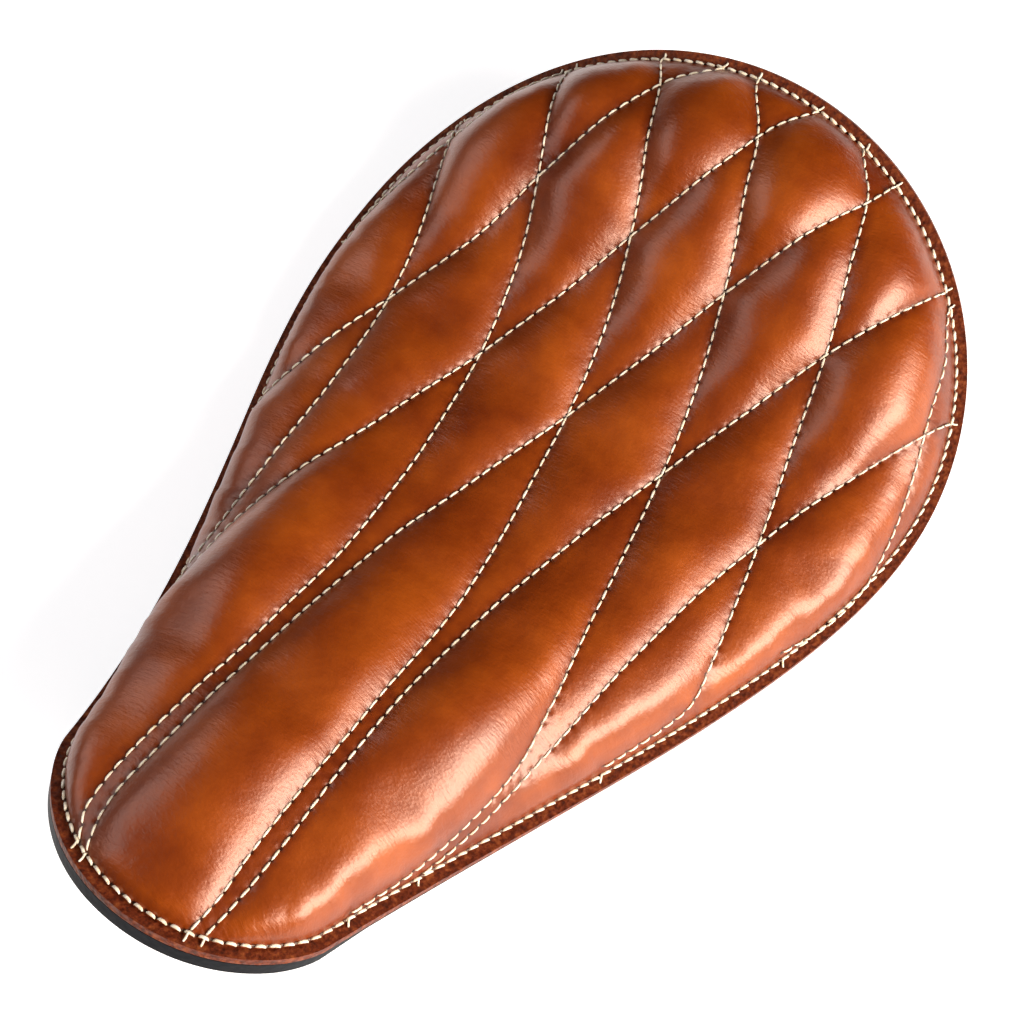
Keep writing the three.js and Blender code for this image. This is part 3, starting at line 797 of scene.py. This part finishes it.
pan = sheet_on_pan("laminate_pan", pan_width, -PAN_THICKNESS, PAN_THICKNESS, 0.7, 1.0)
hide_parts("seat_pan")
edge_sheet = sheet_on_pan("edge_leather", RIM_WIDTH, RIM_BOTTOM, RIM_TOP - RIM_BOTTOM, 0.8, 0.35)
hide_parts("base_leather")

# ---------------------------------------------------------------- the stitches


THREAD_SIDES = 6
THREAD_TURNS = [2 * math.pi * k / THREAD_SIDES for k in range(THREAD_SIDES)]
# A stitch as (place along it, girth, dip), in shares of its length and thickness.
STITCH_SECTIONS = ((-0.5, 0.45, -0.55), (-0.34, 0.9, -0.12), (0.0, 1.0, 0.0), (0.34, 0.9, -0.12),
                   (0.5, 0.45, -0.55))


def thread_faces(rings):
    """The faces of a closed bar of thread with this many rings of points."""
    faces = []
    for first in range(0, (rings - 1) * THREAD_SIDES, THREAD_SIDES):
        for k in range(THREAD_SIDES):
            a, b = first + k, first + (k + 1) % THREAD_SIDES
            faces.append((a, b, b + THREAD_SIDES, a + THREAD_SIDES))
    faces.append(tuple(reversed(range(THREAD_SIDES))))
    faces.append(tuple((rings - 1) * THREAD_SIDES + k for k in range(THREAD_SIDES)))
    return faces


def one_stitch(length, thickness):
    """One stitch as a short rounded bar whose ends dip into the leather, as points."""
    points = []
    for place, girth, dip in STITCH_SECTIONS:
        for turn in THREAD_TURNS:
            points.append((place * length, math.cos(turn) * girth * thickness / 2,
                           math.sin(turn) * girth * thickness / 2 + dip * thickness))
    return np.array(points)


def seam_surface(x, along):
    depth = max(float(distance_in((x, along))[0]), 0.0)
    return float(seam_height(along, depth))


def edge_surface(x, along):
    return COVER_EDGE_TOP


def sewing_frames(line, closed, pitch, height_at):
    """Places every pitch along a line on the leather: the point, the way the line runs and the way out."""
    fine = even_points(line, FINE_STEP, closed)
    if closed:
        fine = np.vstack([fine, fine[:1]])
    run = np.gradient(fine, axis=0)
    run /= np.maximum(np.hypot(*run.T), 1e-9)[:, None]
    on_line = [over_pan(x, s, height_at(x, s)) for x, s in fine]
    steps = [(b - a).length for a, b in zip(on_line, on_line[1:])]
    length = np.concatenate([[0], np.cumsum(steps)]) / MM
    count = max(int(round(length[-1] / pitch)), 1)
    frames = []
    for place in (np.arange(count) + 0.5) * length[-1] / count:
        k = min(max(int(np.searchsorted(length, place)), 1), len(fine) - 2)
        (x, s), (dx, ds) = fine[k], run[k]
        forward = (on_line[k + 1] - on_line[k - 1]).normalized()
        right = over_pan(x + ds, s - dx, height_at(x + ds, s - dx))
        left = over_pan(x - ds, s + dx, height_at(x - ds, s + dx))
        out = (right - left).cross(forward).normalized()
        frames.append((on_line[k], forward, out if out.z > 0 else -out, (x, s)))
    return frames


STITCH_UNEVENNESS = 0.08


def lay_stitches(name, line, closed, pitch, length, thickness, height_at, lift, slant=0.0):
    """A row of stitches on the leather as one piece of thread, and the needle holes between them."""
    stitch = one_stitch(length, thickness)
    pattern = thread_faces(len(STITCH_SECTIONS))
    points, faces, holes = [], [], []
    for here, forward, out, (x, s) in sewing_frames(line, closed, pitch, height_at):
        side = out.cross(forward)
        turn = slant + STITCH_UNEVENNESS * noise.noise((x * 3.7, s * 3.7, 0.5))
        along_way = forward * math.cos(turn) + side * math.sin(turn)
        across_way = out.cross(along_way)
        first = len(points)
        for a, b, c in stitch * (1 + STITCH_UNEVENNESS * noise.noise((s * 2.3, x * 2.3, 4.0))):
            points.append(here + (along_way * a + across_way * b + out * (c + lift)) * MM)
        faces += [tuple(first + j for j in face) for face in pattern]
        half_way = forward * pitch * 0.5 * MM
        if not holes:
            holes.append(here - half_way)
        holes.append(here + half_way)
    obj = mesh_piece(name, points, faces)
    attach(obj, "seat")
    return obj, holes


def tube(points, radii):
    """A rounded length of thread through the points, as the points of its skin."""
    skin = []
    for k, (point, radius) in enumerate(zip(points, radii)):
        ahead = (points[min(k + 1, len(points) - 1)] - points[max(k - 1, 0)]).normalized()
        side = ahead.cross(Vector((0, 0, 1))).normalized()
        up = ahead.cross(side)
        for turn in THREAD_TURNS:
            skin.append(point + (side * math.cos(turn) + up * math.sin(turn)) * radius * MM)
    return skin


TAIL_LENGTH = 2.6
TAIL_LEAN_OUT = 1.6
TAIL_SWAY = 0.5
# A tail as (share of its length, height over the pan, radius), from its needle hole to its cut end.
TAIL_SECTIONS = (
    (-0.1, COVER_EDGE_TOP + 0.1, 0.3),
    (0.2, COVER_EDGE_TOP + 0.5, 0.4),
    (0.45, RIM_TOP + 0.75, 0.4),
    (0.75, RIM_TOP + 0.45, 0.4),
    (1.0, RIM_TOP + 0.4, 0.3),
)


def thread_tails():
    """The cut ends of the quilting thread, where each line runs out over the dark leather."""
    points, faces = [], []
    loop_tree = tree_of(LOOP)
    normals = np.roll(LOOP, -1, axis=0) - np.roll(LOOP, 1, axis=0)
    normals = np.column_stack([-normals[:, 1], normals[:, 0]])
    normals /= np.hypot(*normals.T)[:, None]
    for seam in SEAMS:
        for end, before in ((seam[0], seam[6]), (seam[-1], seam[-7])):
            index = loop_tree.find((end[0], end[1], 0))[1]
            way = (end - before) / np.hypot(*(end - before))
            way = way + normals[index] * TAIL_LEAN_OUT
            way /= np.hypot(*way)
            sway = TAIL_SWAY * noise.noise((end[0] * 0.9, end[1] * 0.9, 8.0))
            way = np.array((way[0] * math.cos(sway) - way[1] * math.sin(sway),
                            way[0] * math.sin(sway) + way[1] * math.cos(sway)))
            reach = TAIL_LENGTH * (1 + 0.3 * noise.noise((end[1] * 1.3, end[0] * 1.3, 2.0)))
            run = [over_pan(*(LOOP[index] + way * t * reach), height) for t, height, _ in TAIL_SECTIONS]
            faces += [tuple(len(points) + j for j in face) for face in thread_faces(len(run))]
            points += tube(run, [radius for _, _, radius in TAIL_SECTIONS])
    obj = mesh_piece("thread_tails", points, faces)
    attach(obj, "seat")
    return obj


# Each thread's pitch, stitch length and thickness.
QUILT_SEWING = (4.9, 3.9, 0.85)
EDGE_SEWING = (4.4, 3.4, 1.2)
quilt_stitches, needle_holes = [], []
for number, seam in enumerate(SEAMS, 1):
    name = f"quilting_stitches_{number}"
    thread, holes = lay_stitches(name, seam, False, *QUILT_SEWING, seam_surface, 0.25)
    quilt_stitches.append(thread)
    needle_holes += holes
edge_stitches, holes = lay_stitches("edge_stitches", outline(0.25, 1.0), True, *EDGE_SEWING, edge_surface,
                                    0.4, slant=-0.12)
needle_holes += holes
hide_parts("edge_seam_thread")
tails = thread_tails()

HOLE_REACH = 1.1
HOLE_DEPTH = 0.45


def press_needle_holes(obj, holes):
    """Pulls the leather in at each needle hole and marks it, so that the finish can paint shade into it."""
    tree = kdtree.KDTree(len(holes))
    for index, hole in enumerate(holes):
        tree.insert(hole, index)
    tree.balance()
    places = points_of(obj)
    near = np.array([tree.find(place)[2] for place in places]) / MM
    press = np.exp(-(near / HOLE_REACH) ** 2)
    move_points(obj, places - points_of(obj, "normal") * press[:, None] * HOLE_DEPTH * MM)
    mark_points(obj.data, "needle_hole", press)


press_needle_holes(top, needle_holes)
line_underside(top)

# ---------------------------------------------------------------- materials


def linear(hex_colour):
    """An sRGB hex colour as the linear numbers a shader takes."""
    channels = [int(hex_colour[k:k + 2], 16) / 255 for k in (1, 3, 5)]
    return (*[c / 12.92 if c <= 0.04045 else ((c + 0.055) / 1.055) ** 2.4 for c in channels], 1.0)


def add_node(tree, kind, settings=None, values=None, links=None):
    """Adds a node, with its own settings, its input values and what its inputs are linked from."""
    node = tree.nodes.new(kind)
    for key, value in (settings or {}).items():
        setattr(node, key, value)
    for key, value in (values or {}).items():
        node.inputs[key].default_value = value
    for key, source in (links or {}).items():
        tree.links.new(source, node.inputs[key])
    return node


def new_material(name):
    """An empty material with its shader, its tree and its Object coordinates."""
    material = bpy.data.materials.new(name)
    material.use_nodes = True
    tree = material.node_tree
    tree.nodes.clear()
    shader = add_node(tree, "ShaderNodeBsdfPrincipled")
    output = add_node(tree, "ShaderNodeOutputMaterial")
    tree.links.new(shader.outputs[0], output.inputs[0])
    place = add_node(tree, "ShaderNodeTexCoord").outputs["Object"]
    return material, tree, shader, place


def colour_ramp(tree, factor, stops):
    ramp = add_node(tree, "ShaderNodeValToRGB", links={"Fac": factor})
    while len(ramp.color_ramp.elements) < len(stops):
        ramp.color_ramp.elements.new(0.5)
    for element, (place, colour) in zip(ramp.color_ramp.elements, stops):
        element.position = place
        element.color = linear(colour)
    return ramp.outputs["Color"]


def set_shader(shader, **values):
    for key, value in values.items():
        shader.inputs[key.replace("_", " ")].default_value = value


def noise_over(tree, place, scale, detail=2.0, roughness=0.5, distortion=0.0):
    values = {"Scale": scale, "Detail": detail, "Roughness": roughness, "Distortion": distortion}
    return add_node(tree, "ShaderNodeTexNoise", values=values, links={"Vector": place}).outputs["Fac"]


def cells_over(tree, place, scale):
    node = add_node(tree, "ShaderNodeTexVoronoi", values={"Scale": scale}, links={"Vector": place})
    return node.outputs["Distance"]


def mark_of(tree, name):
    """A number that the mesh keeps for each of its points."""
    return add_node(tree, "ShaderNodeAttribute", {"attribute_name": name}).outputs["Fac"]


def ranged(tree, source, **ends):
    """A number moved to another range; the ends are From Min, From Max, To Min and To Max."""
    values = {key.replace("_", " "): value for key, value in ends.items()}
    return add_node(tree, "ShaderNodeMapRange", values=values, links={"Value": source}).outputs[0]


def bump(tree, height, strength, depth, under=None):
    """The way a surface with these heights faces, over another bump where one is given."""
    links = {"Height": height, "Normal": under} if under else {"Height": height}
    values = {"Strength": strength, "Distance": depth}
    return add_node(tree, "ShaderNodeBump", values=values, links=links).outputs[0]


def feed(tree, shader, **sources):
    for key, source in sources.items():
        tree.links.new(source, shader.inputs[key.replace("_", " ")])


def tan_leather():
    """Full-grain cowhide, dyed tan and waxed, with painted shade: darker in the folds beside the sewn lines
    and in the needle holes, lighter between them.
    """
    material, tree, shader, place = new_material("waxed_tan_cowhide")
    # Blotches of dye some 30 mm across.
    blotches = noise_over(tree, place, 32.0, 5.0, 0.6)
    dye = colour_ramp(tree, blotches, ((0.28, "#6C2602"), (0.5, "#843602"), (0.72, "#9B4605")))
    # Painted shade: the dye is darkened within a few millimetres of each sewn line, where the folds lie in
    # shade.
    seam_painted_shade = ranged(tree, mark_of(tree, "near_seam"), From_Min=0.3, From_Max=3.5, To_Min=0.6, To_Max=0.0)
    seam_shaded = add_node(tree, "ShaderNodeMix", {"data_type": "RGBA", "blend_type": "MULTIPLY"},
                      links={0: seam_painted_shade, 6: dye})
    seam_shaded.inputs[7].default_value = linear("#A4704C")
    # Painted shade: a near-black brown is painted into each needle hole for the shadow inside it.
    shadow = ranged(tree, mark_of(tree, "needle_hole"), From_Min=0.35, From_Max=0.8)
    hole_shaded = add_node(tree, "ShaderNodeMix", {"data_type": "RGBA"}, links={0: shadow, 6: seam_shaded.outputs[2]})
    hole_shaded.inputs[7].default_value = linear("#2A0E04")
    # Pores about a millimetre apart, and a soft unevenness of a few millimetres.
    grain = bump(tree, cells_over(tree, place, 900.0), 0.15, 0.0003)
    grain = bump(tree, noise_over(tree, place, 260.0, 4.0), 0.2, 0.0005, grain)
    # Hair-fine wrinkles a millimetre apart and three long, which run across the seat and follow the leather.
    laid_flat = add_node(tree, "ShaderNodeCombineXYZ",
                         links={"X": mark_of(tree, "across"), "Y": mark_of(tree, "along")})
    drawn = add_node(tree, "ShaderNodeMapping", values={"Scale": (0.3, 1.0, 1.0)},
                     links={"Vector": laid_flat.outputs[0]})
    grain = bump(tree, noise_over(tree, drawn.outputs[0], 1.0, 3.0, 0.5, 0.6), 0.35, 0.0005, grain)
    feed(tree, shader, Base_Color=hole_shaded.outputs[2], Normal=grain,
         Roughness=ranged(tree, blotches, To_Min=0.29, To_Max=0.4))
    set_shader(shader, IOR=1.5, Specular_IOR_Level=0.6, Specular_Tint=linear("#FFD9C0"), Coat_Weight=0.2,
               Coat_Roughness=0.24)
    return material


def dark_leather():
    """Vegetable-tanned saddle leather, dyed dark brown, with a coarse rolled grain."""
    material, tree, shader, place = new_material("dark_saddle_leather")
    shade = noise_over(tree, place, 430.0, 6.0, 0.7)
    dye = colour_ramp(tree, shade, ((0.36, "#3A1006"), (0.5, "#60230D"), (0.68, "#8A4621")))
    feed(tree, shader, Base_Color=dye, Normal=bump(tree, cells_over(tree, place, 620.0), 0.6, 0.0005))
    set_shader(shader, Roughness=0.5, IOR=1.48, Specular_IOR_Level=0.4, Specular_Tint=linear("#FFD2B4"))
    return material


def waxed_thread(name, light, dark):
    """Waxed polyester thread, twisted from three strands."""
    material, tree, shader, place = new_material(name)
    twist = noise_over(tree, place, 900.0)
    tone = colour_ramp(tree, twist, ((0.3, dark), (0.65, light)))
    feed(tree, shader, Base_Color=tone, Normal=bump(tree, twist, 0.5, 0.0002))
    set_shader(shader, Roughness=0.6, IOR=1.5)
    return material


def black_laminate():
    """Glass-fibre laminate with a satin black gel coat, slightly wavy."""
    material, tree, shader, place = new_material("black_gelcoat_laminate")
    tone = colour_ramp(tree, noise_over(tree, place, 60.0, 6.0, 0.7), ((0.3, "#04060A"), (0.7, "#0B0F16")))
    feed(tree, shader, Base_Color=tone, Normal=bump(tree, cells_over(tree, place, 420.0), 0.25, 0.0004))
    set_shader(shader, Roughness=0.5, IOR=1.45, Specular_IOR_Level=0.15)
    return material


def coated_steel():
    """Steel under a fine-textured black powder coat."""
    material, tree, shader, place = new_material("black_powder_coat_on_steel")
    orange_peel = noise_over(tree, place, 700.0)
    tone = colour_ramp(tree, orange_peel, ((0.35, "#101112"), (0.7, "#1D1E20")))
    feed(tree, shader, Base_Color=tone, Normal=bump(tree, orange_peel, 0.4, 0.0003))
    set_shader(shader, Roughness=0.4, IOR=1.5)
    return material


def metal(name, light, dark, roughness):
    """A plain metal finish with faint cloudy marks."""
    material, tree, shader, place = new_material(name)
    cloud = noise_over(tree, place, 180.0, 5.0, 0.65)
    feed(tree, shader, Base_Color=colour_ramp(tree, cloud, ((0.3, dark), (0.7, light))),
         Roughness=ranged(tree, cloud, To_Min=roughness - 0.08, To_Max=roughness + 0.12))
    set_shader(shader, Metallic=1.0)
    return material


def foam(name, light, dark):
    """Cut polyurethane foam: matt, with open cells about a millimetre across."""
    material, tree, shader, place = new_material(name)
    cells = cells_over(tree, place, 800.0)
    tone = colour_ramp(tree, cells, ((0.1, dark), (0.6, light)))
    feed(tree, shader, Base_Color=tone, Normal=bump(tree, cells, 0.7, 0.0006))
    set_shader(shader, Roughness=0.95)
    return material


FINISHES = {
    "cover_leather": tan_leather(),
    "edge_leather": dark_leather(),
    "pan_laminate": black_laminate(),
    "core_foam": foam("firm_grey_foam", "#7C7E80", "#4A4C4E"),
    "quilt_foam": foam("soft_white_foam", "#E4DFD2", "#B9B3A4"),
    "thread": waxed_thread("cream_waxed_thread", "#F7EFDC", "#DCC9A4"),
    "black_steel": coated_steel(),
    "zinc_steel": metal("bright_zinc_plate", "#C9CCD0", "#9A9EA4", 0.32),
    "bronze": metal("oiled_sintered_bronze", "#B58A4B", "#7D5A2A", 0.42),
}


def paint(obj, material):
    obj.data.materials.clear()
    obj.data.materials.append(material)


paint(top, FINISHES["cover_leather"])
paint(edge_sheet, FINISHES["edge_leather"])
paint(pan, FINISHES["pan_laminate"])
paint(quilt_foam, FINISHES["quilt_foam"])
paint(core, FINISHES["core_foam"])
for thread in [*quilt_stitches, edge_stitches, tails]:
    paint(thread, FINISHES["thread"])

STEEL_NODES = ("hinge_bracket", "frame_tongue", "spring_perch_left", "spring_perch_right")
BRONZE_NODES = ("pivot_bush_left", "pivot_bush_right")
REPLACED = ("seat_pan", "base_leather", "foam_core", "quilt_foam", "quilted_cover", "edge_seam_thread")
for name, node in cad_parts.items():
    if name in REPLACED:
        continue
    finish = "black_steel" if name in STEEL_NODES else "bronze" if name in BRONZE_NODES else "zinc_steel"
    for slot in node.material_slots:
        slot.material = FINISHES[finish]

# ---------------------------------------------------------------- the studio

FLOOR_Z = -0.0022
FLOOR_SIZE = 14.0
BACKDROP_RADIUS = 7.2


def floor():
    deselect_all()
    bpy.ops.mesh.primitive_plane_add(size=FLOOR_SIZE, location=(0, 0, FLOOR_Z))
    obj = bpy.context.object
    obj.name = "studio_floor"
    material, tree, shader, place = new_material("white_paper_floor")
    tone = colour_ramp(tree, noise_over(tree, place, 400.0), ((0.3, "#F4F4F4"), (0.7, "#FAFAFA")))
    feed(tree, shader, Base_Color=tone)
    set_shader(shader, Roughness=0.9, Emission_Color=linear("#FFFFFF"), Emission_Strength=0.6)
    paint(obj, material)


def backdrop():
    """A pale dome round the floor, which is only seen and neither lights the seat nor shows in its shine."""
    deselect_all()
    bpy.ops.mesh.primitive_uv_sphere_add(segments=48, ring_count=24, radius=BACKDROP_RADIUS)
    obj = bpy.context.object
    obj.name = "studio_backdrop"
    material, tree, shader, place = new_material("pale_backdrop_cloth")
    tone = colour_ramp(tree, noise_over(tree, place, 0.4), ((0.3, "#EDEDED"), (0.7, "#F4F4F4")))
    feed(tree, shader, Emission_Color=tone)
    set_shader(shader, Base_Color=linear("#000000"), Specular_IOR_Level=0.0, Emission_Strength=1.0)
    paint(obj, material)
    obj.visible_diffuse = False
    obj.visible_glossy = False
    obj.visible_shadow = False


def soft_lamp(name, start, target, size, power, colour, mirrored=True, lighting=True):
    """A panel of soft light: with mirrored off it leaves no shine, and with lighting off it only shines."""
    data = bpy.data.lights.new(name, "AREA")
    data.shape = "RECTANGLE"
    data.size, data.size_y = size
    data.energy = power
    data.color = linear(colour)[:3]
    lamp = bpy.data.objects.new(name, data)
    lamp.matrix_world = looking(Vector(start), Vector(target), Vector((0, 0, 1)))
    lamp.visible_glossy = mirrored
    lamp.visible_diffuse = lighting
    bpy.context.scene.collection.objects.link(lamp)


floor()
backdrop()
soft_lamp("window_light", (1.1, -0.05, 0.64), (0, 0, 0.03), (1.1, 0.6), 36.0, "#FFF3E8")
soft_lamp("window_glow", (1.1, 0.1, 0.7), (0, 0, 0.03), (1.5, 0.9), 21.0, "#FFFFFF", lighting=False)
soft_lamp("pale_wall", (-0.95, -0.35, 0.8), (0, 0, 0.03), (1.3, 0.6), 6.5, "#F6F0F6")
soft_lamp("ceiling", (-0.3, 0.3, 1.5), (0, 0, 0), (1.8, 1.8), 2.0, "#FFFFFF", mirrored=False)
world = bpy.data.worlds.new("studio")
world.use_nodes = True
world.node_tree.nodes["Background"].inputs["Color"].default_value = (1, 1, 1, 1)
world.node_tree.nodes["Background"].inputs["Strength"].default_value = 0.12
world.cycles_visibility.glossy = False
bpy.context.scene.world = world
bpy.context.scene.view_settings.view_transform = "Standard"
